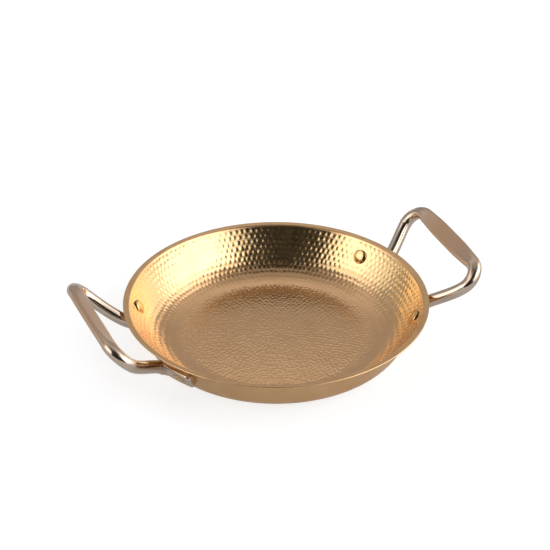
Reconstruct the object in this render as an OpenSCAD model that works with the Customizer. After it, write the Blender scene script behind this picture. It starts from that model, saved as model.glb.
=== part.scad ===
// Two-handled serving pan.
//
// A shallow pan pressed from one metal sheet, with a flared lip, carries two
// loop handles.  Each handle is one bent tube: round on its legs, pressed flat
// into a broad grip at the top and into a flat foot at each end.  The feet turn
// outward along the pan's wall, and one rivet holds each foot.
//
// Millimetres.  The origin is the middle of the base's underside, +Z is up,
// and the handles lie along +X (right) and -X (left).

/* [Pan] */
// Diameter over the lip
rim_d = 310; // [290:1:340]
// Diameter at which the line of the wall meets the table
base_d = 252; // [225:1:265]
// Height from the table to the lip's edge
pan_h = 45; // [42:1:55]
// Thickness of the sheet
sheet_t = 1.1; // [0.8:0.1:1.6]
// Outside radius between the base and the wall
corner_r = 26; // [8:1:30]
// Width of the flared lip
lip_w = 6; // [4:0.5:9]
// How far the lip rises from its root to its edge
lip_rise = 1.1; // [0:0.1:2.5]
// Radius of the bend under the lip
lip_bend_r = 2; // [1:0.25:3]

/* [Handles] */
// Diameter of the tube on the round legs
tube_d = 13; // [10:0.2:15]
// How far the middle of the grip stands out past the lip's edge
grip_out = 40; // [30:1:50]
// How far the middle of the grip stands above the lip's edge
grip_up = 26; // [15:1:40]
// Length of the grip between the points where the lines of its legs meet it
grip_l = 150; // [130:1:165]
// Width of the flat grip
grip_w = 18.4; // [14:0.2:22]
// Thickness of the flat grip
grip_t = 7; // [5:0.2:10]
// Radius on the long edges of the grip
grip_edge_r = 2.8; // [1:0.1:3.5]
// Angle of the grip's flat face, leaning in towards the pan
grip_tilt = 32; // [0:1:45]
// Radius of the bend between a leg and the grip
grip_bend_r = 17; // [11:0.5:20]
// How far in from the grip's ends the legs reach the pan
leg_inset = 30.5; // [27:0.5:35]
// Angle above level at which a leg leaves the pan
leg_rise = 26; // [10:1:45]
// Angle above level at which a leg reaches the grip
grip_rise = 43; // [20:1:60]
// Angle by which a leg spreads where it leaves the pan
leg_spread = 18; // [0:1:30]
// Angle by which a leg spreads where it reaches the grip
grip_spread = 24; // [0:1:40]

/* [Feet] */
// Height of the flat foot
foot_w = 19; // [15:0.2:20]
// Thickness of the flat foot
foot_t = 6.4; // [4:0.1:7]
// Length of the foot past its rivet
foot_past = 15; // [11:0.5:17]
// Radius on the outer corners of the foot
foot_corner_r = 5; // [2:0.5:7]

/* [Rivets] */
// How far in from the grip's ends the rivets lie
rivet_inset = 10.5; // [7:0.5:14]
// Height of the rivets above the table
rivet_z = 28.5; // [27:0.5:31]
// Diameter of the shank
shank_d = 6.4; // [4:0.2:8]
// Diameter of the broad head inside the pan
head_d = 15.6; // [12:0.2:17]
// Height of the broad head
head_h = 2.2; // [1.4:0.1:3]
// Diameter of the set head on the outside
tail_d = 11; // [9:0.2:13]
// Height of the set head
tail_h = 2; // [1.6:0.1:3]
// Gap between a shank and its holes
rivet_clearance = 0.1; // [0.05:0.05:0.3]

/* [Hidden] */

// Faces round the pan, round a rivet, and a quarter of the tube's section
PAN_FN = 240;
RIVET_FN = 48;
QUARTER_STEPS = 5;

// Steps along each stretch of half a handle
END_STEPS = 5;
FOOT_STEPS = 7;
KNEE_STEPS = 9;
LEG_STEPS = 7;
BEND_STEPS = 9;
GRIP_STEPS = 6;

// Steps round the base's corner and round the lip's bend
CORNER_STEPS = 12;
LIP_STEPS = 6;

GOLD = [0.83, 0.66, 0.40];
BRONZE = [0.68, 0.57, 0.47];
RIVET_GOLD = [0.76, 0.62, 0.42];

// Length by which every cutting shape runs past what it cuts
overrun = sheet_t;

// The pan's outline
rim_r = rim_d / 2;
base_r = base_d / 2;
mouth = [rim_r - lip_w, pan_h - lip_rise];
mouth_line = mouth - [base_r, 0];
wall_lean = atan2(mouth_line.x, mouth_line.y) + asin(sheet_t / norm(mouth_line));
lip_angle = atan2(lip_rise, lip_w);

// Rounding of the lip's edge, as a share of the sheet
edge_round_share = 0.45;

// Outward directions of the wall, the lip's underside and the base
wall_out = [cos(wall_lean), -sin(wall_lean)];
lip_out = [sin(lip_angle), -cos(lip_angle)];
base_out = [0, -1];

// Radius of the wall's outside at a height
function wall_r(z) = base_r + z * tan(wall_lean);

// The rivets' angle on each side of the handle, and the radius they lie at
rivet_gap = grip_l - 2 * rivet_inset;
rivet_wall_r = wall_r(rivet_z);
rivet_angle = asin(rivet_gap / 2 / rivet_wall_r);

// The seat sunk into the foot's outside for the set head
seat_depth = foot_t / 9;
seat_d = tail_d + foot_t / 2;

// How far the foot's blank reaches into the wall before it is trimmed to it
foot_bite = foot_t / 8;

// The leg's root, where the knee ends, measured from the wall and the rivets
root_stand = tube_d * 0.76;
root_rise = tube_d * 0.07;
root_z = rivet_z + root_rise;
leg_gap = grip_l - 2 * leg_inset;
root_r = wall_r(root_z) + root_stand;
leg_root = [sqrt(root_r * root_r - leg_gap * leg_gap / 4), leg_gap / 2, root_z];

// The middle and the corner of the grip
grip_mid = [rim_r + grip_out, 0, pan_h + grip_up];
grip_corner = grip_mid + [0, grip_l / 2, 0];

// Direction at an angle above level and an angle of spread
function heading(rise, spread) = [
    cos(rise) * cos(spread),
    cos(rise) * sin(spread),
    sin(rise)
];

// Pull of the leg's ends on its curve, as a share of the straight way between
leg_pull_share = 0.27;

// Angles along the wall of the foot's end and of the start of its knee
foot_end_angle = rivet_angle + foot_past / rivet_wall_r * 180 / PI;
knee_angle = atan2(leg_root.y, leg_root.x) + tube_d * 0.62 / rivet_wall_r * 180 / PI;
knee_drop = tube_d * 0.05;

// Pull of the knee's ends on its curve, as a share of the straight way across
knee_pull_share = 0.55;

// Smooth step from 0 to 1
function ease(t) = let (c = min(max(t, 0), 1)) c * c * (3 - 2 * c);

function mix(a, b, t) = a + (b - a) * t;

function unit(v) = v / norm(v);

// Corner of a sheet of thickness t: the point opposite a corner p, reached
// through both faces, whose directions are n and m
function through(p, n, m, t) = p + (n + m) * t / (1 + n * m);

// Round the corner b of the outline a, b, c with an arc of radius r
function arc_at(a, b, c, r, steps) =
    let (
        p = unit(a - b),
        q = unit(c - b),
        half = acos(p * q) / 2,
        reach = r / tan(half),
        middle = b + unit(p + q) * r / sin(half),
        from = b + p * reach - middle,
        to = b + q * reach - middle,
        turn = 180 - 2 * half
    )
    [
        for (i = [0:steps])
            middle + (from * sin(turn * (1 - i / steps)) + to * sin(turn * i / steps)) / sin(turn)
    ];

// The sheet's outline: up the outside, over the lip and down the inside
base_corner = [base_r, 0];
floor_corner = through(base_corner, -base_out, -wall_out, sheet_t);
under_lip = through(mouth, wall_out, lip_out, sheet_t);
edge_top = [rim_r, pan_h];
edge_foot = [rim_r, pan_h - sheet_t / cos(lip_angle)];
edge_r = sheet_t * edge_round_share;

outside_line = concat(
    [[0, 0]],
    arc_at([0, 0], base_corner, under_lip, corner_r, CORNER_STEPS),
    arc_at(base_corner, under_lip, edge_foot, lip_bend_r, LIP_STEPS)
);
inside_line = concat(
    arc_at(edge_top, mouth, floor_corner, lip_bend_r + sheet_t, LIP_STEPS),
    arc_at(mouth, floor_corner, [0, sheet_t], corner_r - sheet_t, CORNER_STEPS),
    [[0, sheet_t]]
);
edge_line = concat(
    arc_at(under_lip, edge_foot, edge_top, edge_r, LIP_STEPS),
    arc_at(edge_foot, edge_top, mouth, edge_r, LIP_STEPS)
);

// The sheet pan before its rivet holes are drilled
module sheet_pan() {
    rotate_extrude($fn = PAN_FN)
        polygon(concat(outside_line, edge_line, inside_line));
}

// Everything within the pan's outside, up to the lip's bend
module pan_envelope() {
    rotate_extrude($fn = PAN_FN)
        polygon(concat(outside_line, [[0, outside_line[len(outside_line) - 1].y]]));
}

// Put a child on the rivet's axis, its origin on the wall's outside and its
// +Z along the rivet, away from the pan
module at_rivet(side, end) {
    rotate([0, 0, side + end * rivet_angle])
        translate([rivet_wall_r, 0, rivet_z])
            rotate([0, 90 + wall_lean, 0])
                children();
}

// The hole for a shank, through the wall and the foot
module rivet_hole() {
    translate([0, 0, -sheet_t - overrun])
        cylinder(h = sheet_t + foot_t + 2 * overrun, d = shank_d + 2 * rivet_clearance, $fn = RIVET_FN);
}

module pan_shell() {
    color(GOLD)
        difference() {
            sheet_pan();
            for (side = [0, 180], end = [-1, 1])
                at_rivet(side, end) rivet_hole();
        }
}

// Point of the foot's middle line at an angle along the wall
foot_offset = foot_t / 2 - foot_bite / 2;
function foot_point(angle, z) =
    let (r = wall_r(z) + foot_offset * wall_out.x)
    [r * cos(angle), r * sin(angle), z + foot_offset * wall_out.y];

// Height of the foot's middle line: level past the rivet, falling to the knee
function foot_z(angle) = rivet_z - knee_drop * ease((rivet_angle - angle) / (rivet_angle - knee_angle));

// Point at a share t of a cubic curve
function curve(p, q, r, s, t) =
    let (u = 1 - t)
    p * u * u * u + q * 3 * u * u * t + r * 3 * u * t * t + s * t * t * t;

// Directions in which the foot reaches the knee and the leg leaves it
knee_start = foot_point(knee_angle, foot_z(knee_angle));
knee_in = [sin(knee_angle), -cos(knee_angle), 0];
leg_dir = heading(leg_rise, leg_spread);
knee_pull = knee_pull_share * norm(leg_root - knee_start);

// The bend between the leg and the grip: an arc whose reach along the grip
// leaves some of the grip straight
top_dir = heading(grip_rise, grip_spread);
grip_half_turn = acos(top_dir.y) / 2;
grip_reach = min(grip_bend_r / tan(grip_half_turn), 0.45 * grip_l);
grip_arc = arc_at(
    grip_corner - top_dir * grip_l, grip_corner, grip_mid,
    grip_reach * tan(grip_half_turn), BEND_STEPS
);
leg_top = grip_arc[0];
leg_pull = leg_pull_share * norm(leg_top - leg_root);

// A station is [middle, half height, half width, edge radius, lean, lean angle]:
// the middle line's point, the section's half sizes, the radius on its corners,
// and the tilt of its height away from +Z, with the direction of that tilt.
function foot_station(angle, shrink) = [
    foot_point(angle, foot_z(angle)),
    foot_w / 2 - shrink,
    (foot_t + foot_bite) / 2,
    foot_t / 3,
    -wall_lean,
    angle
];

// The foot's rounded end, its straight stretch, and the knee where the flat
// foot opens into the round tube
end_sweep = foot_corner_r / rivet_wall_r * 180 / PI;
end_stations = [
    for (i = [0:END_STEPS])
        let (a = 90 * i / END_STEPS)
        foot_station(foot_end_angle - end_sweep * (1 - cos(a)), foot_corner_r * (1 - sin(a)))
];
foot_stations = [
    for (i = [1:FOOT_STEPS])
        foot_station(mix(foot_end_angle - end_sweep, knee_angle, i / FOOT_STEPS), 0)
];
knee_stations = [
    for (i = [1:KNEE_STEPS])
        let (t = i / KNEE_STEPS, k = ease(t))
        [
            curve(
                knee_start,
                knee_start + knee_in * knee_pull,
                leg_root - leg_dir * knee_pull,
                leg_root,
                t
            ),
            mix(foot_w / 2, tube_d / 2, k),
            mix((foot_t + foot_bite) / 2, tube_d / 2, k),
            mix(foot_t / 3, tube_d / 2, k),
            -wall_lean * (1 - k),
            knee_angle * (1 - k)
        ]
];

// The round leg, then the bend and half of the grip, where the tube flattens
function tube_station(p) = [p, tube_d / 2, tube_d / 2, tube_d / 2, 0, 0];
leg_stations = [
    for (i = [1:LEG_STEPS - 1])
        tube_station(curve(
            leg_root,
            leg_root + leg_dir * leg_pull,
            leg_top - top_dir * leg_pull,
            leg_top,
            i / LEG_STEPS
        ))
];

// Share of the grip's flattening reached at a distance from its middle
flat_l = grip_l * 0.46;
function grip_station(p) =
    let (k = ease((grip_l / 2 - p.y) / flat_l + 0.12))
    [
        p,
        mix(tube_d / 2, grip_t / 2, k),
        mix(tube_d / 2, grip_w / 2, k),
        mix(tube_d / 2, grip_edge_r, k),
        grip_tilt * ease(k * 1.5),
        0
    ];
grip_start = grip_arc[len(grip_arc) - 1];
grip_stations = [
    for (p = grip_arc) grip_station(p),
    for (i = [1:GRIP_STEPS]) grip_station(mix(grip_start, grip_mid, i / GRIP_STEPS))
];

half_stations = concat(end_stations, foot_stations, knee_stations, leg_stations, grip_stations);
HALF = len(half_stations);

// The other half is the same one, mirrored and run backwards
stations = concat(
    half_stations,
    [
        for (i = [HALF - 2:-1:0])
            let (s = half_stations[i])
            [[s[0].x, -s[0].y, s[0].z], s[1], s[2], s[3], s[4], -s[5]]
    ]
);
COUNT = len(stations);

// Direction of the middle line at a station
function along(i) = unit(stations[min(i + 1, COUNT - 1)][0] - stations[max(i - 1, 0)][0]);

// A rectangle of half sizes h and w with rounded corners, as [height, width]
SIDES = 4 * (QUARTER_STEPS + 1);
function section(h, w, r) = [
    for (q = [0:3], i = [0:QUARTER_STEPS])
        let (
            a = 90 * (q + i / QUARTER_STEPS),
            up = (q == 0 || q == 3) ? 1 : -1,
            out = (q < 2) ? 1 : -1,
            e = min(r, h, w) * 0.995
        )
        [up * (h - e) + e * cos(a), out * (w - e) + e * sin(a)]
];

// A station's section, set square to the middle line
function ring(i) =
    let (
        s = stations[i],
        t = along(i),
        lean = [-sin(s[4]) * cos(s[5]), -sin(s[4]) * sin(s[5]), cos(s[4])],
        up = unit(lean - t * (lean * t)),
        out = cross(t, up)
    )
    [for (p = section(s[1], s[2], s[3])) s[0] + up * p.x + out * p.y];

// The whole bent and pressed tube, as a skin over its sections
module tube_skin() {
    points = [for (i = [0:COUNT - 1]) each ring(i)];
    sides = [
        for (i = [0:COUNT - 2], j = [0:SIDES - 1])
            let (a = i * SIDES + j, b = i * SIDES + (j + 1) % SIDES)
            each [[a, a + SIDES, b], [b, a + SIDES, b + SIDES]]
    ];
    start_cap = [for (j = [0:SIDES - 1]) j];
    end_cap = [for (j = [SIDES - 1:-1:0]) (COUNT - 1) * SIDES + j];
    polyhedron(points = points, faces = concat(sides, [start_cap, end_cap]), convexity = 6);
}

// One handle, with its feet trimmed to the wall and drilled for the rivets
module handle(side) {
    color(BRONZE)
        difference() {
            rotate([0, 0, side]) tube_skin();
            pan_envelope();
            for (end = [-1, 1])
                at_rivet(side, end) {
                    rivet_hole();
                    translate([0, 0, foot_t - seat_depth])
                        cylinder(h = tail_h + foot_t, d = seat_d, $fn = RIVET_FN);
                }
        }
}

module handle_right() {
    handle(0);
}

module handle_left() {
    handle(180);
}

// Low domed head of diameter d and height h, on a short straight edge
module domed_head(d, h) {
    edge = h / 3;
    rise = h - edge;
    dome_r = (d * d / 4 + rise * rise) / (2 * rise);
    intersection() {
        cylinder(h = h, d = d, $fn = RIVET_FN);
        translate([0, 0, h - dome_r]) sphere(r = dome_r, $fn = 2 * RIVET_FN);
    }
}

// One rivet: broad head inside the pan, shank, and set head on the foot
module rivet(side, end) {
    tail_z = foot_t - seat_depth;
    color(RIVET_GOLD) {
        at_rivet(side, end) {
            translate([0, 0, -sheet_t - head_h / 2])
                cylinder(h = sheet_t + head_h / 2 + tail_z + tail_h / 2, d = shank_d, $fn = RIVET_FN);
            translate([0, 0, tail_z]) domed_head(tail_d, tail_h);
        }
        difference() {
            at_rivet(side, end)
                translate([0, 0, -sheet_t])
                    mirror([0, 0, 1]) domed_head(head_d, head_h);
            sheet_pan();
        }
    }
}

module rivet_right_front() {
    rivet(0, -1);
}

module rivet_right_back() {
    rivet(0, 1);
}

module rivet_left_front() {
    rivet(180, 1);
}

module rivet_left_back() {
    rivet(180, -1);
}

pan_shell();
handle_right();
handle_left();
rivet_right_front();
rivet_right_back();
rivet_left_front();
rivet_left_back();
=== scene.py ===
"""A two-handled serving pan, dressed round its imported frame.

The pan is one sheet of coated steel: hammered and polished inside, satin on
its lip and outside.  Each handle is one bent tube, pressed flat for the grip
and for its two feet, and a rivet with two heads holds each foot to the wall.

Lengths are millimetres until a mesh is made, and metres from there on.
"""

import logging
from collections.abc import Callable, Mapping, Sequence
from dataclasses import dataclass, replace
from enum import Enum
from functools import cached_property, partial
from math import acos, asin, atan2, cos, pi, radians, sin, sqrt, tan
from typing import Any

import bpy
import numpy as np
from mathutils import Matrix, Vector
from numpy import ndarray


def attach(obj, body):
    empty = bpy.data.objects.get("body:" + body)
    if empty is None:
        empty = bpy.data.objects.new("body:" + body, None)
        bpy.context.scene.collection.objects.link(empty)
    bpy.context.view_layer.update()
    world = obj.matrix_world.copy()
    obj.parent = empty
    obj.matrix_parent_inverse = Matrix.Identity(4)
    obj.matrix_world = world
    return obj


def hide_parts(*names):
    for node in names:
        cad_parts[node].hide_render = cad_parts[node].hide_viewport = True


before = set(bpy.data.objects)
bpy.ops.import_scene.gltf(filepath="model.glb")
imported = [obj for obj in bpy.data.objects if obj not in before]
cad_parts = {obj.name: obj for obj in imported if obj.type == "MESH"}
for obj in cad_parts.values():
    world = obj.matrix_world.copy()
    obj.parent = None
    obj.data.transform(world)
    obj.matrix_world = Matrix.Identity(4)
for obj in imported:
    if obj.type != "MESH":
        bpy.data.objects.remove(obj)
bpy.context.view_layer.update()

MM = 0.001
FULL_TURN = 2 * pi
NEARLY_ZERO = 1e-6

log = logging.getLogger("serving_pan")


# Small helpers for lengths, curves and colours


def ease(share: ndarray | float) -> ndarray | float:
    """Smooth step from 0 to 1."""
    held = np.clip(share, 0.0, 1.0)
    return held * held * (3 - 2 * held)


def mix(start: Any, end: Any, share: Any) -> Any:
    """The value at a share of the way from start to end."""
    return start + (end - start) * share


def unit(vector: ndarray) -> ndarray:
    """The vector, or each row of vectors, at length one."""
    return vector / np.linalg.norm(vector, axis=-1, keepdims=True)


def run_along(points: ndarray) -> ndarray:
    """Length of a line from its first point to each of its points."""
    steps = np.linalg.norm(np.diff(points, axis=0), axis=1)
    return np.concatenate([[0.0], np.cumsum(steps)])


def circle(radius: float, height: float, count: int) -> ndarray:
    """Points of a level circle round the upright."""
    turn = FULL_TURN * np.arange(count) / count
    return np.stack([radius * np.cos(turn), radius * np.sin(turn), np.full(count, height)], axis=1)


def heading(rise: float, spread: float) -> ndarray:
    """Direction at an angle above level and an angle of spread, both in degrees."""
    up, out = radians(rise), radians(spread)
    return np.array([cos(up) * cos(out), cos(up) * sin(out), sin(up)])


def swing(start: float, end: float, steps: int) -> ndarray:
    """Steps along an arc of radius one that climbs from one slope to a steeper one, in radians."""
    turn = np.linspace(start, end, steps + 1)[1:]
    return np.stack([np.sin(turn) - sin(start), cos(start) - np.cos(turn)], axis=1)


def linear(code: str) -> tuple[float, float, float, float]:
    """Turns an sRGB hex colour into linear red, green, blue and an alpha of one.

    Args:
        code: The colour, such as "#C8A070".

    Returns:
        The four numbers that a colour socket takes.
    """
    levels = [int(code[i : i + 2], 16) / 255 for i in (1, 3, 5)]
    bent = [v / 12.92 if v <= 0.04045 else ((v + 0.055) / 1.055) ** 2.4 for v in levels]
    return (bent[0], bent[1], bent[2], 1.0)


def arc_at(before: ndarray, corner: ndarray, after: ndarray, radius: float, steps: int) -> ndarray:
    """Rounds a corner of an outline.

    Args:
        before: A point on the line that reaches the corner.
        corner: The corner itself.
        after: A point on the line that leaves it.
        radius: Radius of the rounding.
        steps: Steps along the arc.

    Returns:
        The points of the arc, from the first line to the second.
    """
    towards, away = unit(before - corner), unit(after - corner)
    half = acos(float(towards @ away)) / 2
    middle = corner + unit(towards + away) * radius / sin(half)
    start = corner + towards * radius / tan(half) - middle
    end = corner + away * radius / tan(half) - middle
    turn = pi - 2 * half
    share = np.linspace(0, 1, steps + 1)[:, None]
    bow = start * np.sin(turn * (1 - share)) + end * np.sin(turn * share)
    return middle + bow / sin(turn)


def cubic(a: ndarray, b: ndarray, c: ndarray, d: ndarray, share: float) -> ndarray:
    """The point at a share of a cubic curve with control points a, b, c and d."""
    rest = 1 - share
    return a * rest**3 + b * 3 * rest**2 * share + c * 3 * rest * share**2 + d * share**3


# Meshes


def make_piece(
    name: str, points: ndarray, faces: Sequence[Sequence[int]], **layers: ndarray
) -> bpy.types.Object:
    """Makes a smooth mesh object from points in millimetres.

    Args:
        name: Name of the piece.
        points: One row a point, in millimetres.
        faces: Point numbers of each face.
        layers: For each point, its grain, which is its place in millimetres along and
            across the lay, and its satin, from polished at 0 to satin at 1.

    Returns:
        The new object, linked to the scene.
    """
    mesh = bpy.data.meshes.new(name)
    mesh.from_pydata((points * MM).tolist(), [], faces)
    for label, values in layers.items():
        kind, key = ("FLOAT", "value") if values.ndim == 1 else ("FLOAT_VECTOR", "vector")
        layer = mesh.attributes.new(label, kind, "POINT")
        layer.data.foreach_set(key, values.astype(np.float32).ravel())
    mesh.shade_smooth()
    mesh.update()
    piece = bpy.data.objects.new(name, mesh)
    bpy.context.scene.collection.objects.link(piece)
    return piece


def smooth_edges(piece: bpy.types.Object, degrees: float) -> None:
    """Shades a piece smooth, apart from its edges above an angle.

    Args:
        piece: The piece.
        degrees: The angle.
    """
    bpy.context.view_layer.objects.active = piece
    piece.select_set(True)
    bpy.ops.object.shade_smooth_by_angle(angle=radians(degrees))
    piece.select_set(False)


def zip_rings(
    first: int, first_count: int, second: int, second_count: int
) -> list[tuple[int, ...]]:
    """Joins two closed rings of points, whose counts may differ, with faces.

    Args:
        first: Number of the first ring's first point.
        first_count: Points in the first ring.
        second: Number of the second ring's first point.
        second_count: Points in the second ring.

    Returns:
        Four-sided faces where the counts agree, and triangles otherwise.
    """
    if first_count == second_count:
        steps = [(j, (j + 1) % first_count) for j in range(first_count)]
        return [(first + j, first + k, second + k, second + j) for j, k in steps]
    faces, i, j = [], 0, 0
    while i < first_count or j < second_count:
        a, b = first + i % first_count, second + j % second_count
        behind = (i + 1) * second_count <= (j + 1) * first_count
        if j == second_count or (i < first_count and behind):
            faces.append((a, first + (i + 1) % first_count, b))
            i += 1
        else:
            faces.append((a, second + (j + 1) % second_count, b))
            j += 1
    return faces


# Materials


def add_node(
    tree: bpy.types.NodeTree,
    kind: str,
    inputs: Mapping[str | int, Any] | None = None,
    **settings: Any,
) -> bpy.types.Node:
    """Adds a node with its settings, values and links.

    Args:
        tree: The node tree that gets the node.
        kind: The node's type name, after "ShaderNode".
        inputs: For each input, its value, or the output or node that is linked to it.
        settings: The node's own properties.

    Returns:
        The new node.
    """
    node = tree.nodes.new(f"ShaderNode{kind}")
    for label, value in settings.items():
        setattr(node, label, value)
    for key, value in (inputs or {}).items():
        if isinstance(value, bpy.types.Node):
            tree.links.new(value.outputs[0], node.inputs[key])
        elif isinstance(value, bpy.types.NodeSocket):
            tree.links.new(value, node.inputs[key])
        else:
            node.inputs[key].default_value = value
    return node


def empty_tree(owner: bpy.types.Material | bpy.types.World) -> Callable[..., bpy.types.Node]:
    """Empties the nodes of a material or a world.

    Args:
        owner: The material or the world.

    Returns:
        What adds a node to it.
    """
    owner.use_nodes = True
    owner.node_tree.nodes.clear()
    return partial(add_node, owner.node_tree)


class Lay(Enum):
    """How the marks of the last polish or brushing run, as their length and width in mm."""

    FINE_BRUSH = (34.0, 0.35)
    COARSE_BRUSH = (46.0, 0.8)
    BUFFED = (9.0, 2.2)


@dataclass(frozen=True)
class CoatedSteel:
    """Stainless steel with a thin hard metal coating.

    The steel gives the mirror or the satin, and the coating its colour, which
    clouds a little from place to place.  Hollows get painted shade, a mix towards
    dark brown where the mesh curves in, and hands and cloths leave smudges in the
    gloss.  Sizes and depths are in mm.
    """

    name: str
    colour: str
    cloud: str
    polished: float
    satin: float
    lay: Lay
    brush_depth: float
    satin_colour: str = ""
    # Painted shade in the hollows, found by the mesh's pointiness: its share, its dark brown and
    # its edges
    painted_shade_level: float = 0.0
    painted_shade_colour: str = "#4A2F14"
    painted_shade_edges: tuple[float, float] = (0.5, 0.44)
    cloud_size: float = 24.0
    cloud_edges: tuple[float, float] = (0.35, 0.68)
    smudge_size: float = 38.0
    smudge_edges: tuple[float, float] = (0.35, 0.7)
    smudge_change: tuple[float, float] = (-0.03, 0.06)
    brush_edges: tuple[float, float] = (0.3, 0.7)
    brush_change: tuple[float, float] = (-0.03, 0.05)
    turned: bool = False
    anisotropy: float = 0.0
    lacquer: float = 0.0
    lacquer_roughness: float = 0.12

    def material(self) -> bpy.types.Material:
        """Builds the node material.

        Returns:
            The material, ready to be put on a piece.
        """
        material = bpy.data.materials.new(self.name)
        add = empty_tree(material)
        grain = add("Attribute", attribute_name="grain").outputs["Vector"]
        satin = add("Attribute", attribute_name="satin").outputs["Fac"]
        place = add("TexCoord").outputs["Object"]
        point = add("NewGeometry").outputs["Pointiness"]

        # Marks of the brushing, long along the lay and narrow across it, the
        # clouds of the coating, and the smudges left by hands and cloths
        length, width = self.lay.value
        scale = (1 / length, 1 / (length if self.turned else width), 1 / width)
        along = add("Mapping", {"Vector": grain, "Scale": scale})
        noises = (
            (along, 1.0, 3.0, 0.6, 0.0),
            (place, self.cloud_size * MM, 4.0, 0.55, 0.0),
            (place, self.smudge_size * MM, 5.0, 0.6, 0.6),
        )
        labels = ("Vector", "Scale", "Detail", "Roughness", "Distortion")
        brush, cloud, smudge = (
            add("TexNoise", dict(zip(labels, (vector, 1 / size, *detail))))
            for vector, size, *detail in noises
        )

        # What each of these does, between two of its own values
        changes = (
            (cloud, self.cloud_edges, (0.0, 1.0)),
            (point, self.painted_shade_edges, (0.0, self.painted_shade_level)),
            (satin, (0.0, 1.0), (self.polished, self.satin)),
            (smudge, self.smudge_edges, self.smudge_change),
            (brush, self.brush_edges, self.brush_change),
        )
        labels = ("Value", "From Min", "From Max", "To Min", "To Max")
        clouded, painted_shade, level, smeared, marked = (
            add("MapRange", dict(zip(labels, (value, *edges, *change))))
            for value, edges, change in changes
        )

        tint: Any = linear(self.colour)
        # Mixes in the coating's clouds, the satin tint, which on the tube's feet is partly painted
        # shade, and painted shade in the hollows
        layers = ((clouded, self.cloud), (satin, self.satin_colour), (painted_shade, self.painted_shade_colour))
        for share, colour in layers:
            if colour:
                sockets = {0: share, 6: tint, 7: linear(colour)}
                tint = add("Mix", sockets, data_type="RGBA").outputs[2]
        both = add("Math", {0: smeared, 1: marked}, operation="ADD")
        rough = add("Math", {0: level, 1: both}, operation="ADD", use_clamp=True)
        depth = self.brush_depth * MM
        bump = add("Bump", {"Height": brush, "Strength": 1.0, "Distance": depth})
        shader_inputs = {
            "Base Color": tint,
            "Metallic": 1.0,
            "Roughness": rough,
            "Normal": bump,
            "Anisotropic": self.anisotropy,
            "Coat Weight": self.lacquer,
            "Coat Roughness": self.lacquer_roughness,
        }
        if self.anisotropy:
            shader_inputs["Tangent"] = add("Tangent", direction_type="RADIAL", axis="Z")
        shader = add("BsdfPrincipled", shader_inputs)
        add("OutputMaterial", {"Surface": shader})
        return material


# Stainless steel coated with titanium nitride, hammered, polished and lacquered:
# a warm light gold mirror, broken up by every dent, and browner where the polish
# doesn't reach, down on the floor
HAMMERED_GOLD = CoatedSteel(
    name="titanium_nitride_steel_hammered_polished",
    colour="#EBC791",
    cloud="#E2BD85",
    polished=0.17,
    satin=0.24,
    lay=Lay.BUFFED,
    brush_depth=0.012,
    satin_colour="#D89272",
    # Painted shade: the dents' hollows are mixed a little towards dark brown
    painted_shade_level=0.12,
    turned=True,
    lacquer=0.7,
)

# The same coating over brushed steel: a soft sheen with fine lines round the pan
SATIN_GOLD = CoatedSteel(
    name="titanium_nitride_steel_spun_satin",
    colour="#E6BC88",
    cloud="#DDB17C",
    polished=0.24,
    satin=0.34,
    lay=Lay.FINE_BRUSH,
    brush_depth=0.006,
    turned=True,
    anisotropy=0.4,
)

# The coating on the lip, which is rubbed whenever the pan is wiped or stacked:
# paler and smoother than the outside, with the same fine lines round the pan
RUBBED_GOLD = CoatedSteel(
    name="titanium_nitride_steel_rubbed_lip",
    colour="#EEC596",
    cloud="#E2B786",
    polished=0.22,
    satin=0.28,
    lay=Lay.FINE_BRUSH,
    brush_depth=0.005,
    turned=True,
    anisotropy=0.3,
)

# Stainless steel tube with a champagne coating: a bright polish on the round
# legs, and a warmer satin face where it is pressed flat; on the feet that warmer
# tint is also painted shade, for the shaded floor under the wall that they mirror
CHAMPAGNE_TUBE = CoatedSteel(
    name="champagne_coated_steel_tube",
    colour="#D9C9BA",
    cloud="#CDBBA9",
    polished=0.13,
    satin=0.33,
    lay=Lay.COARSE_BRUSH,
    brush_depth=0.008,
    satin_colour="#D0AE90",
)

# Cold-headed steel rivet, coated with the pan: a small smooth golden dome
RIVET_GOLD = CoatedSteel(
    name="titanium_nitride_steel_rivet",
    colour="#E6C08A",
    cloud="#D8AE74",
    polished=0.15,
    satin=0.3,
    lay=Lay.BUFFED,
    brush_depth=0.004,
    cloud_size=6.0,
    smudge_size=8.0,
)


# The pan


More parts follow.
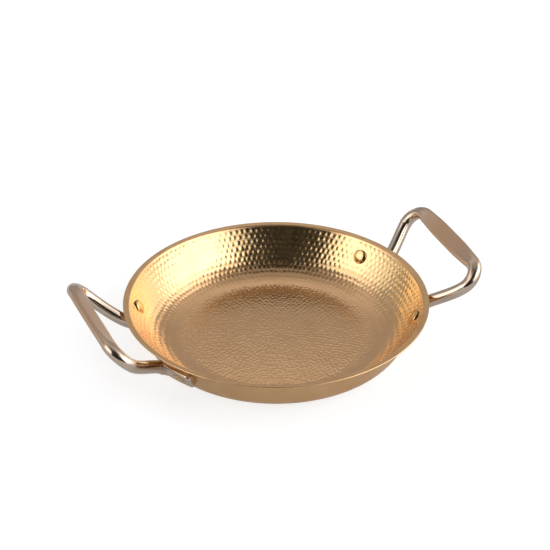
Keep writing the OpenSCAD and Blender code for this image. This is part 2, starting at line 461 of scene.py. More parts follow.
@dataclass(frozen=True)
class PanOutline:
    """Sizes of the pressed sheet, and the lines that follow from them."""

    rim_d: float = 310.0
    base_d: float = 252.0
    height: float = 45.0
    sheet: float = 1.1
    corner_r: float = 26.0
    lip_w: float = 6.0
    lip_rise: float = 0.3
    lip_bend_r: float = 2.0
    curl_r: float = 1.3
    curl_end: float = 20.0
    inside_r: float = 48.0
    inside_bend: float = 50.0
    ring_w: float = 10.0
    ring_tilt: float = 7.0
    floor_crown: float = 3.3
    corner_steps: int = 14
    lip_steps: int = 6

    @property
    def mouth(self) -> ndarray:
        """Corner between the wall's inside and the lip."""
        return np.array([self.rim_d / 2 - self.lip_w, self.height - self.lip_rise])

    @property
    def lean(self) -> float:
        """Lean of the wall away from upright, in radians."""
        line = self.mouth - np.array([self.base_d / 2, 0])
        return atan2(line[0], line[1]) + asin(self.sheet / float(np.linalg.norm(line)))

    @property
    def wall_out(self) -> ndarray:
        """Outward direction of the wall, as radius and height."""
        return np.array([cos(self.lean), -sin(self.lean)])

    def wall_r(self, height: float | ndarray) -> float | ndarray:
        """Radius of the wall's outside at a height."""
        return self.base_d / 2 + height * tan(self.lean)

    def thickness(self, height: float) -> float:
        """Measures the wall, square to its outside.

        Args:
            height: Height of the place on the wall's outside.

        Returns:
            The thickness.
        """
        away = self.lines["inside"] - np.array([self.wall_r(height), height])
        up_wall = away @ np.array([-self.wall_out[1], self.wall_out[0]])
        return float(np.interp(0.0, up_wall, away @ -self.wall_out))

    def opposite(self, corner: ndarray, one: ndarray, other: ndarray) -> ndarray:
        """The sheet's corner on its other face, through faces that look along one and other."""
        return corner + (one + other) * self.sheet / (1 + float(one @ other))

    def inside_line(self, top: ndarray) -> ndarray:
        """The sheet's inside: a ring that starts to lift, a wide soft corner and the wall.

        Args:
            top: The wall's upper end, as radius and height.

        Returns:
            Radius and height of each point, from the hammered floor's edge to the top.
        """
        steps = 2 * self.corner_steps
        lift, steep = radians(self.ring_tilt), radians(self.inside_bend)
        steepest = pi / 2 - self.lean
        share = np.linspace(0, 1, steps + 1)
        slope = np.tan(lift * ease((share[1:] + share[:-1]) / 2))
        rise = np.concatenate([[0.0], np.cumsum(slope)]) / steps
        ring = self.ring_w * np.stack([share, rise], axis=1) + np.array([0.0, self.sheet])
        corner = ring[-1] + self.inside_r * swing(lift, steep, 2 * steps)
        wall_r = (top[1] - corner[-1, 1]) / (cos(steep) - cos(steepest))
        wall = corner[-1] + wall_r * swing(steep, steepest, steps)
        line = np.vstack([ring, corner, wall])
        line[:, 0] += top[0] - line[-1, 0]
        return line

    @cached_property
    def lines(self) -> dict[str, ndarray]:
        """Outlines of the sheet as radius and height.

        Returns:
            The lines by name: inside, bend, edge, lip_outside, outside and base_corner.
        """
        curl_end, half, steps = radians(self.curl_end), self.sheet / 2, self.lip_steps
        curl_in = self.curl_r - half
        curl_r = self.rim_d / 2 - half - curl_in * sin(curl_end)
        middle = np.array([curl_r, self.height - self.curl_r])
        reach = middle - self.mouth
        rise = atan2(reach[1], reach[0])
        rise += asin(self.curl_r / float(np.linalg.norm(reach)))
        curl, cap = (
            np.stack([np.sin(turn), np.cos(turn)], axis=1)
            for turn in (
                np.linspace(-rise, curl_end, steps + 1),
                np.linspace(curl_end, curl_end + pi, steps + 1),
            )
        )
        over = middle + self.curl_r * curl
        under = middle + (self.curl_r - self.sheet) * curl[::-1]
        cut = middle + curl_in * curl[-1] + half * cap[1:-1]

        base_corner, base_middle = np.array([self.base_d / 2, 0.0]), np.zeros(2)
        floor_corner = self.opposite(base_corner, np.array([0.0, 1.0]), -self.wall_out)
        lip_down = np.array([sin(rise), -cos(rise)])
        under_lip = self.opposite(self.mouth, self.wall_out, lip_down)
        bend = arc_at(floor_corner, self.mouth, over[0], self.lip_bend_r + self.sheet, steps)
        lip = arc_at(under[-1], under_lip, base_corner, self.lip_bend_r, steps)
        base = arc_at(under_lip, base_corner, base_middle, self.corner_r, self.corner_steps)
        share = np.linspace(0, 1, steps + 1)[1:-1, None]
        return {
            "inside": self.inside_line(bend[0]),
            "bend": bend,
            "edge": np.vstack([over, cut, under]),
            "lip_outside": lip,
            "outside": mix(lip[-1], base[0], share),
            "base_corner": base,
        }


class Zone(Enum):
    """A part of the shell's skin: its number, its satin and its material's number."""

    FLOOR = (0, 0.3, 0)
    SMOOTH = (1, 0.3, 0)
    WALL = (2, 0.3, 0)
    LIP = (3, 0.5, 1)
    OUTSIDE = (4, 1.0, 2)

    def __init__(self, number: int, satin: float, finish: int) -> None:
        """Names the zone's values."""
        self.number, self.satin, self.finish = number, satin, finish


@dataclass(frozen=True)
class Ring:
    """One ring of the shell's points: where it lies and which way the hammer presses it."""

    radius: float
    height: float
    count: int
    zone: Zone
    place: float = 0.0
    out: tuple[float, float] = (0.0, -1.0)


@dataclass(frozen=True)
class HammerMarks:
    """Rows of round hammer marks that overlap, each row set between the marks of the next."""

    zone: Zone
    pitch: float
    radius: float
    depth: float
    wander: float
    fade: float
    seed: int
    fade_rows: int = 2
    size_spread: tuple[float, float] = (0.9, 1.1)
    force_spread: tuple[float, float] = (0.7, 1.2)
    phase_spread: tuple[float, float] = (-0.1, 0.1)

    def sink(
        self, rows: Mapping[float, int], angle: ndarray, place: ndarray, ring_r: ndarray
    ) -> ndarray:
        """How deep the marks press each point.

        Args:
            rows: The place of each row and how many marks it has.
            angle: Angle of each point round the pan, in radians.
            place: Place of each point across the rows.
            ring_r: Radius of each point's ring.

        Returns:
            The depth of each point.
        """
        chance = np.random.default_rng(self.seed)
        deepest = np.zeros(len(angle))
        fading = len(rows) - 1 - self.fade_rows
        for row, (middle, count) in enumerate(rows.items()):
            step = FULL_TURN / count
            shift_u = chance.uniform(-self.wander, self.wander, count)
            shift_v = chance.uniform(-self.wander, self.wander, count)
            size = self.radius * chance.uniform(*self.size_spread, count)
            force = self.depth * chance.uniform(*self.force_spread, count)
            phase = 0.5 * (row % 2) + chance.uniform(*self.phase_spread)
            force *= mix(1.0, self.fade, ease((row - fading) / self.fade_rows))
            near = np.abs(place - middle) < self.size_spread[1] * self.radius + self.wander
            turn = angle[near] / step - phase
            for side in (-1, 0, 1):
                which = np.rint(turn).astype(int) + side
                number = which % count
                du = (turn - which) * step * ring_r[near] - shift_u[number]
                dv = place[near] - middle - shift_v[number]
                share = 1 - (du**2 + dv**2) / size[number] ** 2
                deepest[near] = np.maximum(deepest[near], force[number] * share)
        return deepest


@dataclass
class PanShell:
    """The pressed and hammered sheet.

    The marks stop short of the rivets' heads, over a gap and a fade.  The wall
    is polished more and more between two heights.
    """

    pan: PanOutline
    rivet_spots: list[ndarray]
    rivet_head_r: float
    rivet_gap: float = 0.2
    rivet_fade: float = 1.2
    wall_marks: HammerMarks = HammerMarks(Zone.WALL, 6.0, 2.45, 0.31, 0.6, fade=0.55, seed=11)
    wall_first: float = 3.2
    wall_rows: int = 10
    wall_row: int = 150
    wall_points: int = 930
    wall_spacing: float = 0.99
    polish_from: float = 4.0
    polish_to: float = 20.0
    floor_marks: HammerMarks = HammerMarks(Zone.FLOOR, 4.7, 2.15, 0.3, 0.9, fade=0.75, seed=23)
    floor_spacing: float = 1.15
    smooth_spacing: float = 1.7
    smooth_count: int = 216
    base_spacing: float = 18.0
    base_least: int = 24
    least: int = 6

    @property
    def floor_r(self) -> float:
        """Radius of the floor, up to the ring that starts to lift."""
        return float(self.pan.lines["inside"][0, 0])

    def floor_rings(self) -> list[Ring]:
        """Lays rings from the floor's middle, over its crown and the ring that starts to lift.

        Returns:
            The rings, from the middle on.
        """
        line = self.pan.lines["inside"]
        outer = self.floor_r + self.pan.ring_w
        rings = []
        for radius in np.linspace(0, outer, round(outer / self.floor_spacing) + 1)[1:]:
            crown = self.pan.floor_crown * max(0.0, 1 - (radius / self.floor_r) ** 2)
            height = float(np.interp(radius, line[:, 0], line[:, 1])) + crown
            count = max(self.least, round(FULL_TURN * radius / self.floor_spacing))
            rings.append(Ring(float(radius), height, count, Zone.FLOOR, float(radius)))
        return rings

    def inside_rings(self) -> list[Ring]:
        """Lays rings up the corner and the wall, by their distance below the lip's bend.

        Returns:
            The rings, from the lifted ring's edge up.
        """
        line = self.pan.lines["inside"][2 * self.pan.corner_steps :]
        below = run_along(line)[-1] - run_along(line)
        marks = self.wall_marks
        marked = self.wall_first + (self.wall_rows - 1) * marks.pitch + marks.radius
        smooth = max(1, round((below[0] - marked) / self.smooth_spacing) - 1)
        places = list(np.linspace(below[0], marked, smooth + 2)[1:-1])
        places += list(np.linspace(marked, 0, round(marked / self.wall_spacing) + 1))
        rings = []
        for number, place in enumerate(places):
            # The hammer's direction is taken over half a millimetre to each side
            ahead, here, behind = (
                np.array([np.interp(-place - gap, -below, line[:, i]) for i in (0, 1)])
                for gap in (-0.5, 0.0, 0.5)
            )
            r, z = here.tolist()
            if number < smooth:
                rings.append(Ring(r, z, self.wall_points // 2, Zone.SMOOTH))
            else:
                way = unit(ahead - behind)
                out = (float(way[1]), float(-way[0]))
                rings.append(Ring(r, z, self.wall_points, Zone.WALL, place, out))
        return rings

    def rings(self) -> list[Ring]:
        """Lays the rings of the closed skin, over the lip and back to the base's middle.

        Returns:
            The rings in their order along the skin.
        """
        lines = self.pan.lines
        rings = self.floor_rings() + self.inside_rings()
        for line, count, zone in (
            (lines["bend"][1:], self.wall_points // 2, Zone.LIP),
            (lines["edge"], self.smooth_count, Zone.LIP),
            (lines["lip_outside"], self.smooth_count, Zone.OUTSIDE),
            (lines["outside"], self.smooth_count, Zone.OUTSIDE),
            (lines["base_corner"], self.smooth_count, Zone.OUTSIDE),
        ):
            rings += [Ring(r, z, count, zone) for r, z in line.tolist()]
        start, step = rings[-1].radius, self.base_spacing
        for radius in np.arange(start - step, step / 2, -step):
            count = max(self.base_least, round(self.smooth_count * radius / start))
            rings.append(Ring(float(radius), 0.0, count, Zone.OUTSIDE))
        return rings

    def press(self, points: ndarray, rings: list[Ring]) -> ndarray:
        """Hammers the floor and the wall.

        Args:
            points: The rings' points before the hammering, in the rings' order.
            rings: The rings.

        Returns:
            The pressed points.
        """
        zone, place, radius, out = (
            np.repeat(values, [ring.count for ring in rings], axis=0)
            for values in (
                [ring.zone.number for ring in rings],
                [ring.place for ring in rings],
                [ring.radius for ring in rings],
                [ring.out for ring in rings],
            )
        )
        angle = np.arctan2(points[:, 1], points[:, 0])
        wall_places = self.wall_first + self.wall_marks.pitch * np.arange(self.wall_rows)
        wall_rows = dict.fromkeys(wall_places, self.wall_row)
        # The floor's rows are packed as closely as round marks can be
        marks = self.floor_marks
        step = marks.pitch * sin(pi / 3)
        last = self.floor_r + self.pan.ring_w - marks.radius / 2
        floor_rows = {
            middle: max(self.least, round(FULL_TURN * middle / marks.pitch))
            for middle in np.arange(step, last, step)
        }
        sunk = np.zeros(len(points))
        for marks, rows in ((self.wall_marks, wall_rows), (self.floor_marks, floor_rows)):
            here = zone == marks.zone.number
            sunk[here] = marks.sink(rows, angle[here], place[here], radius[here])
        wall = zone == self.wall_marks.zone.number
        for spot in self.rivet_spots:
            away = np.linalg.norm(points[wall] - spot, axis=1) - self.rivet_head_r
            sunk[wall] *= ease((away - self.rivet_gap) / self.rivet_fade)
        ways = np.stack([np.cos(angle) * out[:, 0], np.sin(angle) * out[:, 0], out[:, 1]], axis=1)
        return points + sunk[:, None] * ways

    def build(self) -> bpy.types.Object:
        """Builds the shell and dresses it.

        Returns:
            The finished piece.
        """
        rings = self.rings()
        counts = [ring.count for ring in rings]
        starts = (1 + np.cumsum([0] + counts)).tolist()
        total, first, last = starts.pop(), counts[0], counts[-1]
        points = [circle(ring.radius, ring.height, ring.count) for ring in rings]
        top = self.pan.sheet + self.pan.floor_crown
        pressed = self.press(np.vstack(points), rings)
        skin = np.vstack([[0.0, 0.0, top], pressed, np.zeros(3)])
        faces = [(0, 1 + j, 1 + (j + 1) % first) for j in range(first)]
        finishes = [Zone.FLOOR.finish] * first
        for inner, outer, start, end in zip(rings[:-1], rings[1:], starts[:-1], starts[1:]):
            new = zip_rings(end, outer.count, start, inner.count)
            faces += new
            finishes += [outer.zone.finish] * len(new)
        faces += [(total, starts[-1] + (j + 1) % last, starts[-1] + j) for j in range(last)]
        finishes += [Zone.OUTSIDE.finish] * last

        flat_r = np.hypot(skin[:, 0], skin[:, 1])
        around = skin[:, :2] / np.maximum(flat_r, NEARLY_ZERO)[:, None] * self.pan.base_d / 2
        grain = np.column_stack([around, flat_r + skin[:, 2]])
        satin = [Zone.FLOOR.satin]
        for ring in rings:
            climb = (ring.height - self.polish_from) / (self.polish_to - self.polish_from)
            polish = float(ease(climb)) if ring.zone is Zone.WALL else 0.0
            satin += [ring.zone.satin * (1 - polish)] * ring.count
        satin.append(Zone.OUTSIDE.satin)
        piece = make_piece("hammered_pan", skin, faces, grain=grain, satin=np.array(satin))
        for finish in (HAMMERED_GOLD, RUBBED_GOLD, SATIN_GOLD):
            piece.data.materials.append(finish.material())
        piece.data.polygons.foreach_set("material_index", finishes)
        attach(piece, "root")
        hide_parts("pan_shell")
        return piece


# The handles


class Side(Enum):
    """Which side of the pan a handle is on, as its turn about the upright."""

    RIGHT = 0.0
    LEFT = pi


@dataclass(frozen=True)
class Station:
    """One cross-section of the tube: a rounded rectangle on the middle line.

    Its shape is half its height, half its width and the radius of its corners.
    """

    middle: ndarray
    shape: ndarray
    lean: float = 0.0
    lean_way: float = 0.0
    satin: float = 0.0

    def points(self, steps: int, roundest: float) -> ndarray:
        """Draws the section.

        Args:
            steps: Steps round each of its corners.
            roundest: The most that a corner may take of half a side.

        Returns:
            Height and width of each point.
        """
        edge, points = min(self.shape) * roundest, []
        for quarter, way in enumerate(((1, 1), (-1, 1), (-1, -1), (1, -1))):
            middle = way * (self.shape[:2] - edge)
            for step in range(steps + 1):
                turn = pi / 2 * (quarter + step / steps)
                points.append(middle + [edge * cos(turn), edge * sin(turn)])
        return np.array(points)


@dataclass
class LoopHandle:
    """One bent tube, round on its legs and pressed flat for its grip and feet.

    Sizes that end in _share are shares of the tube's diameter, and pulls are
    shares of the length that they bend.  The seat's bottom and mouth are the
    points of its rounded edge, out from its radius and up from its bottom or
    from the foot's face.
    """

    side: Side
    pan: PanOutline
    tube_d: float = 13.0
    grip_out: float = 40.0
    grip_up: float = 26.0
    grip_l: float = 150.0
    grip_w: float = 18.36
    grip_t: float = 7.0
    grip_edge_r: float = 2.8
    grip_tilt: float = 32.0
    grip_bend_r: float = 17.0
    press_run: float = 0.46
    press_start: float = 0.12
    tilt_lead: float = 1.5
    leg_inset: float = 30.5
    leg_rise: float = 26.0
    grip_rise: float = 43.0
    leg_spread: float = 18.0
    grip_spread: float = 24.0
    leg_pull: float = 0.27
    knee_pull: float = 0.55
    knee_up_share: float = 0.07
    knee_out_share: float = 0.76
    knee_run_share: float = 0.62
    foot_drop_share: float = 0.05
    foot_w: float = 19.0
    foot_t: float = 6.4
    foot_past: float = 15.0
    foot_corner_r: float = 5.0
    foot_edge_r: float = 1.1
    foot_sunk: float = 0.35
    # The feet's satin share, which also mixes in the warm tint as painted shade
    foot_satin_and_shade: float = 0.3
    rivet_inset: float = 10.5
    rivet_z: float = 28.5
    seat_d: float = 15.0
    seat_depth: float = 1.0
    seat_bottom: tuple[tuple[float, float], ...] = ((-0.5, 0.0), (-0.15, 0.12), (0.0, 0.45))
    seat_mouth: tuple[tuple[float, float], ...] = ((0.25, 0.05), (0.3, 4.0))
    seat_points: int = 96
    crease: float = 32.0
    roundest: float = 0.995
    quarter_steps: int = 11
    end_steps: int = 12
    foot_steps: int = 16
    knee_steps: int = 34
    leg_steps: int = 26
    bend_steps: int = 30
    grip_steps: int = 26

    @property
    def rivet_r(self) -> float:
        """Radius of the wall's outside at the rivets."""
        return float(self.pan.wall_r(self.rivet_z))

    @property
    def rivet_angle(self) -> float:
        """Angle of a rivet from the handle's middle, in radians."""
        return asin((self.grip_l / 2 - self.rivet_inset) / self.rivet_r)

    @property
    def foot_end(self) -> float:
        """Angle of the foot's end from the handle's middle, in radians."""
        return self.rivet_angle + self.foot_past / self.rivet_r

    @property
    def leg_root(self) -> ndarray:
        """Finds where the knee ends and the leg begins.

        Returns:
            The point on the tube's middle line.
        """
        height = self.rivet_z + self.tube_d * self.knee_up_share
        radius = float(self.pan.wall_r(height)) + self.tube_d * self.knee_out_share
        half_gap = self.grip_l / 2 - self.leg_inset
        return np.array([sqrt(radius**2 - half_gap**2), half_gap, height])

    @property
    def knee_angle(self) -> float:
        """Angle of the start of the knee from the handle's middle, in radians."""
        run = self.tube_d * self.knee_run_share / self.rivet_r
        return atan2(self.leg_root[1], self.leg_root[0]) + run

    def foot_station(self, angle: float, shrink: float) -> Station:
        """Sets a section of the flat foot, with its end's corner and edges rounded.

        Args:
            angle: The section's angle round the pan, in radians.
            shrink: What the end's corner takes off each side.

        Returns:
            The section.
        """
        share = (self.rivet_angle - angle) / (self.rivet_angle - self.knee_angle)
        height = self.rivet_z - self.tube_d * self.foot_drop_share * float(ease(share))
        offset = (self.foot_t - self.foot_sunk) / 2 * self.pan.wall_out
        radius = float(self.pan.wall_r(height)) + offset[0]
        middle = np.array([radius * cos(angle), radius * sin(angle), height + offset[1]])
        gone = max(0.0, self.foot_edge_r - (self.foot_end - angle) * self.rivet_r)
        inset = self.foot_edge_r - sqrt(max(0.0, self.foot_edge_r**2 - gone**2))
        half = np.array([self.foot_w, self.foot_t + self.foot_sunk, self.foot_t * 2 / 3]) / 2
        shape = half - [shrink + inset, inset, 0.0]
        return Station(middle, shape, -self.pan.lean, angle, self.foot_satin_and_shade)

    def stations(self) -> list[Station]:
        """Sets the sections of the tube: half of it to the grip's middle, and then its mirror.

        Returns:
            The sections from one foot's end to the other's.
        """
        sweep, stations = self.foot_corner_r / self.rivet_r, []
        for turn in np.linspace(0, pi / 2, self.end_steps + 1):
            angle = self.foot_end - sweep * (1 - cos(turn))
            stations.append(self.foot_station(angle, self.foot_corner_r * (1 - sin(turn))))
        straight = np.linspace(self.foot_end - sweep, self.knee_angle, self.foot_steps + 1)
        stations += [self.foot_station(float(angle), 0.0) for angle in straight[1:]]

        tube = np.full(3, self.tube_d / 2)
        foot, start, root = stations[-1].shape, stations[-1].middle, self.leg_root
        inward = np.array([sin(self.knee_angle), -cos(self.knee_angle), 0.0])
        leg_way = heading(self.leg_rise, self.leg_spread)
        pull = self.knee_pull * float(np.linalg.norm(root - start))
        for share in np.linspace(0, 1, self.knee_steps + 1)[1:]:
            k = float(ease(share))
            middle = cubic(start, start + inward * pull, root - leg_way * pull, root, share)
            turns = (rest * (1 - k) for rest in (-self.pan.lean, self.knee_angle, self.foot_satin_and_shade))
            stations.append(Station(middle, mix(foot, tube, k), *turns))

        top_way = heading(self.grip_rise, self.grip_spread)
        grip_r = self.pan.rim_d / 2 + self.grip_out
        middle = np.array([grip_r, 0.0, self.pan.height + self.grip_up])
        corner = middle + np.array([0.0, self.grip_l / 2, 0.0])
        before = corner - top_way * self.grip_l
        bend = arc_at(before, corner, middle, self.grip_bend_r, self.bend_steps)
        pull = self.leg_pull * float(np.linalg.norm(bend[0] - root))
        for share in np.linspace(0, 1, self.leg_steps + 1)[1:-1]:
            point = cubic(root, root + leg_way * pull, bend[0] - top_way * pull, bend[0], share)
            stations.append(Station(point, tube))
        share = np.linspace(0, 1, self.grip_steps + 1)[1:, None]
        grip = np.array([self.grip_t / 2, self.grip_w / 2, self.grip_edge_r])
        for point in np.vstack([bend, mix(bend[-1], middle, share)]):
            run = (self.grip_l / 2 - point[1]) / (self.grip_l * self.press_run)
            k = float(ease(run + self.press_start))
            lean = radians(self.grip_tilt) * float(ease(k * self.tilt_lead))
            stations.append(Station(point, mix(tube, grip, k), lean, satin=k))
        return stations + [
            replace(station, middle=station.middle * [1, -1, 1], lean_way=-station.lean_way)
            for station in reversed(stations[:-1])
        ]

    def keep_off_wall(self, points: ndarray) -> ndarray:
        """Presses what would reach through the sheet back to just under the wall's outside.

        Args:
            points: The points of the handle.

        Returns:
            The points after the pressing.
        """
        radius = np.hypot(points[:, 0], points[:, 1])
        out = self.pan.wall_out
        stand = (radius - self.pan.wall_r(points[:, 2])) * out[0]
        push = np.maximum(-self.foot_sunk - stand, 0.0)
        flat = out[0] * points[:, :2] / radius[:, None]
        ways = np.column_stack([flat, np.full(len(points), out[1])])
        return points + push[:, None] * ways

    def build(self) -> bpy.types.Object:
        """Builds the handle, sinks the seats of its rivets and dresses it.

        Returns:
            The finished piece.
        """
        stations = self.stations()
        middles = np.array([station.middle for station in stations])
        ends = middles[[0, *range(len(stations) - 1)]], middles[[*range(1, len(stations)), -1]]
        points, grain, satin = [], [], []
        for station, way, length in zip(stations, unit(ends[1] - ends[0]), run_along(middles)):
            slope = -sin(station.lean)
            flat = [slope * cos(station.lean_way), slope * sin(station.lean_way)]
            tilt = np.array([*flat, cos(station.lean)])
            up = unit(tilt - way * float(tilt @ way))
            shape = station.points(self.quarter_steps, self.roundest)
            points.append(station.middle + shape[:, :1] * up + shape[:, 1:] * np.cross(way, up))
            grain.append(np.column_stack([np.full(len(shape), length), shape]))
            satin.append(station.satin)
        sides, count = 4 * (self.quarter_steps + 1), len(stations)
        faces = []
        for i in range(count - 1):
            faces += zip_rings(i * sides, sides, (i + 1) * sides, sides)
        faces.append(tuple(range(sides - 1, -1, -1)))
        faces.append(tuple((count - 1) * sides + j for j in range(sides)))
        c, s = cos(self.side.value), sin(self.side.value)
        turn = np.array([[c, -s, 0.0], [s, c, 0.0], [0.0, 0.0, 1.0]])
        skin = self.keep_off_wall(np.vstack(points)) @ turn.T
        label = self.side.name.lower()
        layers = {"grain": np.vstack(grain), "satin": np.repeat(satin, sides)}
        piece = make_piece(f"loop_handle_{label}", skin, faces, **layers)
        piece.data.materials.append(CHAMPAGNE_TUBE.material())
        self.sink_seats(piece)
        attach(piece, "root")
        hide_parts(f"handle_{label}")
        return piece

    def sink_seats(self, piece: bpy.types.Object) -> None:
        """Cuts the shallow round seat for each set head into the feet.

        Args:
            piece: The handle.
        """
        bottom = [self.seat_d / 2, self.foot_t - self.seat_depth]
        mouth = [self.seat_d / 2, self.foot_t]
        wall = np.vstack([np.add(bottom, self.seat_bottom), np.add(mouth, self.seat_mouth)])
        profile = np.vstack([[0.0, wall[0, 1]], wall, [0.0, wall[-1, 1]]])
        for end in (-1, 1):
            place = self.rivet_place(end)
            cutter = turned_piece("seat_cutter", profile, place, self.seat_points)
            cutter.data.materials.append(piece.data.materials[0])
            cut = piece.modifiers.new("seat", "BOOLEAN")
            cut.object = cutter
            cut.operation = "DIFFERENCE"
            cut.solver = "EXACT"
            bpy.context.view_layer.objects.active = piece
            bpy.ops.object.modifier_apply(modifier=cut.name)
            bpy.data.objects.remove(cutter)
        smooth_edges(piece, self.crease)

    def rivet_place(self, end: int) -> ndarray:
        """Finds where a rivet sits.

        Args:
            end: -1 for the foot at the lower angle round the pan, and 1 for the other.

        Returns:
            A 3 by 4 matrix from the rivet's own millimetres to the pan's.
        """
        angle, lean = self.side.value + end * self.rivet_angle, self.pan.lean
        c, s = cos(angle), sin(angle)
        axis = np.array([c * cos(lean), s * cos(lean), -sin(lean)])
        side = np.array([-s, c, 0.0])
        origin = np.array([self.rivet_r * c, self.rivet_r * s, self.rivet_z])
        return np.stack([np.cross(side, axis), side, axis, origin], axis=1)


# The rivets


def turned_piece(name: str, profile: ndarray, place: ndarray, count: int) -> bpy.types.Object:
    """Turns an outline round an axis into a closed piece.

    Args:
        name: Name of the piece.
        profile: Radius and height of each point; the first and last lie on the axis.
        place: The 3 by 4 matrix that puts the piece in its place.
        count: Points round the axis.

    Returns:
        The new object.
    """
    rings = [circle(radius, height, count) for radius, height in profile[1:-1]]
    own = np.vstack([[0.0, 0.0, profile[0, 1]], *rings, [0.0, 0.0, profile[-1, 1]]])
    last = len(own) - 1
    top = last - count
    faces = [(0, 1 + (j + 1) % count, 1 + j) for j in range(count)]
    for start in range(1, top, count):
        faces += zip_rings(start, count, start + count, count)
    faces += [(top + j, top + (j + 1) % count, last) for j in range(count)]
    placed = own @ place[:, :3].T + place[:, 3]
    return make_piece(name, placed, faces, grain=own, satin=np.zeros(len(own)))


@dataclass
class WallRivet:
    """A rivet with a broad domed head inside the pan and a set head on the foot."""

    name: str
    handle: LoopHandle
    end: int
    shank_d: float = 6.4
    head_d: float = 15.6
    head_h: float = 2.6
    head_edge: float = 0.5
    tail_d: float = 11.0
    tail_h: float = 2.3
    tail_edge: float = 0.8
    overlap: float = 0.05
    crease: float = 50.0
    points: int = 72
    dome_points: int = 22

    @property
    def sheet(self) -> float:
        """Thickness of the wall at the rivet."""
        return self.handle.pan.thickness(self.handle.rivet_z)

    @property
    def spot(self) -> ndarray:
        """Middle of the head's underside, on the wall's inside."""
        place = self.handle.rivet_place(self.end)
        return place[:, 3] - place[:, 2] * self.sheet

    def dome(self, diameter: float, height: float, edge: float) -> ndarray:
        """Draws half a low dome that stands on a short upright edge, from its foot to its top.

        Args:
            diameter: Diameter of the head.
            height: Height of the head.
            edge: Height of the upright edge.

        Returns:
            Radius and height of each point; the last lies on the axis.
        """
        turn = np.linspace(0, pi / 2, self.dome_points)
        cap = np.stack([diameter / 2 * np.cos(turn), edge + (height - edge) * np.sin(turn)], axis=1)
        cap[-1, 0] = 0.0
        return np.vstack([[diameter / 2, 0.0], cap])

    def build(self) -> bpy.types.Object:
        """Builds the rivet and dresses it.

        Returns:
            The finished piece.
        """
        seat = self.handle.foot_t - self.handle.seat_depth
        tail = self.dome(self.tail_d, self.tail_h, self.tail_edge) + [0.0, seat]
        head = self.dome(self.head_d, self.head_h, self.head_edge)[::-1] * [1.0, -1.0]
        head -= [0.0, self.sheet]
        shank = self.shank_d / 2
        neck = [[shank, -self.sheet + self.overlap], [shank, seat - self.overlap]]
        profile = np.vstack([head, neck, tail])
        place = self.handle.rivet_place(self.end)
        piece = turned_piece(f"wall_{self.name}", profile, place, self.points)
        piece.data.materials.append(RIVET_GOLD.material())
        smooth_edges(piece, self.crease)
        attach(piece, "root")
        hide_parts(self.name)
        return piece


# The studio


@dataclass(frozen=True)
class SoftBox:
    """A soft box: its turn and rise in degrees, its size in metres and its level.

    Here and below, a turn is counted from the camera's side, to its right.
    """

    name: str
    turn: float
    rise: float
    width: float
    height: float
    level: float
    distance: float = 1.5


@dataclass(frozen=True)
class SoftWall:
    """A paler or darker part of the room, from bottom to top and within an angle of a turn.

    The angles are in degrees.  The step is added to the room's level, or scales it.
    """

    turn: float
    half_turn: float
    bottom: float
    top: float
    step: float
    scales: bool = False
    soft_turn: float = 14.0
    soft_rise: float = 7.0


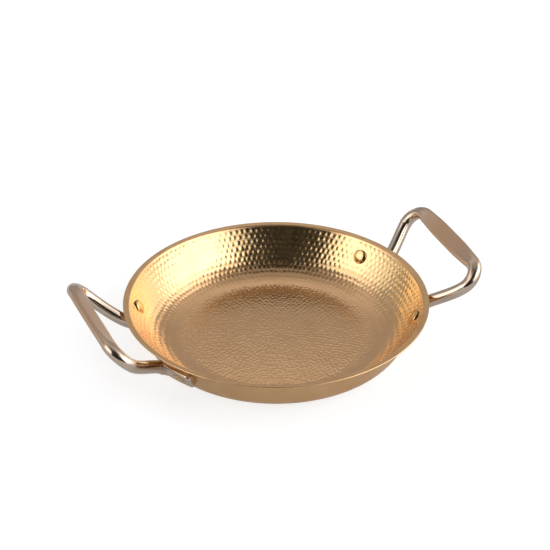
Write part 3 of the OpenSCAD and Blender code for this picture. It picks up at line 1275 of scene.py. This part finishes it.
@dataclass
class Studio:
    """A pale floor, a plain soft light and the camera."""

    eye: tuple[float, float, float] = (-0.66329, -1.54756, 1.12440)
    aim: tuple[float, float, float] = (0.00413, 0.01246, 0.06569)
    lens: float = 129.15
    sensor: float = 36.0
    camera_turn: float = -113.2
    floor_r: float = 6.0
    floor_points: int = 96
    floor_gap: float = 0.0002
    floor_paint: str = "#A0A2A6"
    floor_glow: float = 0.78
    floor_mirrored: float = 0.3
    backdrop: str = "#FFFFFF"
    backdrop_fade: tuple[float, float] = (0.08, 0.04)
    light: str = "#FFFAF5"
    boxes: tuple[SoftBox, ...] = (
        SoftBox("right_box", turn=72.0, rise=32.0, width=2.2, height=1.0, level=1.15),
        SoftBox("left_box", turn=-70.0, rise=28.0, width=1.0, height=0.8, level=0.9),
    )
    ceiling: tuple[tuple[float, float], ...] = (
        (0.0, 0.35),
        (20.0, 0.42),
        (34.0, 0.43),
        (42.0, 0.58),
        (48.0, 0.8),
        (53.0, 0.66),
        (60.0, 0.3),
        (90.0, 0.12),
    )
    walls: tuple[SoftWall, ...] = (
        SoftWall(turn=90.0, half_turn=52.0, bottom=-10.0, top=20.0, step=0.8),
        SoftWall(turn=138.0, half_turn=22.0, bottom=-10.0, top=16.0, step=0.3),
        SoftWall(turn=88.0, half_turn=43.0, bottom=20.0, top=60.0, step=1.15),
        SoftWall(turn=-79.0, half_turn=28.0, bottom=8.0, top=57.0, step=0.8),
        SoftWall(turn=180.0, half_turn=62.0, bottom=58.0, top=110.0, step=0.2),
        SoftWall(turn=-5.5, half_turn=45.5, bottom=-10.0, top=110.0, step=-0.94, scales=True),
    )

    def direction(self, turn: float, rise: float) -> Vector:
        """Direction into the room, at a turn and a rise in degrees."""
        return Vector(heading(rise, self.camera_turn + turn))

    def camera(self) -> None:
        """Sets up the camera at the photograph's angle."""
        data = bpy.data.cameras.new("camera")
        data.lens, data.sensor_width = self.lens, self.sensor
        camera = bpy.data.objects.new("camera", data)
        bpy.context.scene.collection.objects.link(camera)
        eye, aim = Vector(self.eye), Vector(self.aim)
        camera.location = eye
        camera.rotation_euler = (aim - eye).to_track_quat("-Z", "Y").to_euler()
        bpy.context.scene.camera = camera

    def lamps(self) -> None:
        """Hangs the soft boxes."""
        for box in self.boxes:
            data = bpy.data.lights.new(box.name, "AREA")
            data.shape = "RECTANGLE"
            data.size, data.size_y = box.width, box.height
            # The power that shows a box at its level, as grey, in a mirror
            data.energy = box.level * box.width * box.height * pi
            lamp = bpy.data.objects.new(box.name, data)
            bpy.context.scene.collection.objects.link(lamp)
            way = self.direction(box.turn, box.rise)
            lamp.location = way * box.distance
            lamp.rotation_euler = way.to_track_quat("Z", "Y").to_euler()
            lamp.visible_camera = False

    def world(self) -> None:
        """Lights the room: a ceiling, paler sides, a dark side behind the camera, a backdrop."""
        world = bpy.data.worlds.new("studio")
        bpy.context.scene.world = world
        add = empty_tree(world)
        way = add("TexCoord").outputs["Generated"]
        rise = add("SeparateXYZ", {0: way}).outputs["Z"]
        flat = add("VectorMath", {0: way, 1: (1.0, 1.0, 0.0)}, operation="MULTIPLY")
        flat_way = add("VectorMath", {0: flat}, operation="NORMALIZE")
        level = add("ValToRGB", {0: rise})
        stops = level.color_ramp.elements
        while len(stops) < len(self.ceiling):
            stops.new(1.0)
        for stop, (height, grey) in zip(stops, self.ceiling):
            stop.position = sin(radians(height))
            stop.color = (grey, grey, grey, 1.0)
        for wall in self.walls:
            sockets = {0: flat_way, 1: tuple(self.direction(wall.turn, 0.0))}
            facing = add("VectorMath", sockets, operation="DOT_PRODUCT").outputs["Value"]
            turns = [wall.half_turn + sign * wall.soft_turn / 2 for sign in (1, -1)]
            edges = [(facing, *(cos(radians(turn)) for turn in turns))]
            for edge, sign in ((wall.bottom, 1), (wall.top, -1)):
                rises = [edge + sign * gap * wall.soft_rise / 2 for gap in (-1, 1)]
                if edge < 90:
                    edges.append((rise, *(sin(radians(height)) for height in rises)))
            share: Any = 1.0
            for value, start, end in edges:
                sockets = {"Value": value, "From Min": start, "From Max": end}
                fade = add("MapRange", sockets, interpolation_type="SMOOTHSTEP")
                share = add("Math", {0: share, 1: fade}, operation="MULTIPLY")
            sockets = {0: share, 1: wall.step, 2: 1.0 if wall.scales else level}
            change = add("Math", sockets, operation="MULTIPLY_ADD")
            if wall.scales:
                change = add("Math", {0: level, 1: change}, operation="MULTIPLY")
            level = change
        room = add("Background", {"Color": linear(self.light), "Strength": level})
        white = add("Background", {"Color": linear(self.backdrop), "Strength": 1.0})

        # The camera sees a white backdrop, and metal and glass see it low over the floor
        path = add("LightPath").outputs
        start, end = self.backdrop_fade
        low = add("MapRange", {"Value": rise, "From Min": start, "From Max": end})
        sockets = {0: path["Is Glossy Ray"], 1: path["Is Transmission Ray"]}
        mirrored = add("Math", sockets, operation="MAXIMUM")
        mirrored = add("Math", {0: mirrored, 1: low}, operation="MULTIPLY")
        seen = add("Math", {0: path["Is Camera Ray"], 1: mirrored}, operation="MAXIMUM")
        both = add("MixShader", {0: seen, 1: room, 2: white})
        add("OutputWorld", {"Surface": both})

    def floor(self) -> None:
        """Lays the pale floor: white to the camera, greyer in the metal, with the pan's shadow."""
        ring = circle(self.floor_r / MM, 0.0, self.floor_points)
        piece = make_piece("floor", ring, [tuple(range(self.floor_points))])
        material = bpy.data.materials.new("painted_board_matt_white")
        add = empty_tree(material)
        paint = add("BsdfDiffuse", {"Color": linear(self.floor_paint)})
        path = add("LightPath").outputs
        sockets = {0: path["Is Camera Ray"], 1: path["Is Transmission Ray"]}
        seen = add("Math", sockets, operation="MAXIMUM")
        sockets = {0: path["Is Glossy Ray"], 1: self.floor_mirrored}
        mirrored = add("Math", sockets, operation="MULTIPLY")
        sockets = {0: seen, 1: self.floor_glow, 2: mirrored}
        level = add("Math", sockets, operation="MULTIPLY_ADD")
        glow = add("Emission", {"Color": linear(self.backdrop), "Strength": level})
        both = add("AddShader", {0: paint, 1: glow})
        add("OutputMaterial", {"Surface": both})
        piece.data.materials.append(material)
        piece.location.z = -self.floor_gap

    def build(self) -> None:
        """Sets up the whole studio."""
        self.camera()
        self.lamps()
        self.world()
        self.floor()
        bpy.context.scene.view_settings.view_transform = "Standard"
        log.info("studio: camera, %d soft boxes, world and floor", len(self.boxes))


def main() -> None:
    """Builds the pan, its handles, its rivets and the studio, in that order."""
    logging.basicConfig(level=logging.INFO, format="%(name)s: %(message)s")
    pan = PanOutline()
    right, left = (LoopHandle(side, pan) for side in Side)
    rivets = [
        WallRivet("rivet_right_front", right, -1),
        WallRivet("rivet_right_back", right, 1),
        WallRivet("rivet_left_front", left, 1),
        WallRivet("rivet_left_back", left, -1),
    ]
    shell = PanShell(pan, [rivet.spot for rivet in rivets], rivets[0].head_d / 2)
    for part in (shell, right, left, *rivets):
        piece = part.build()
        log.info("%s: %d faces", piece.name, len(piece.data.polygons))
    Studio().build()


if __name__ == "__main__":
    main()
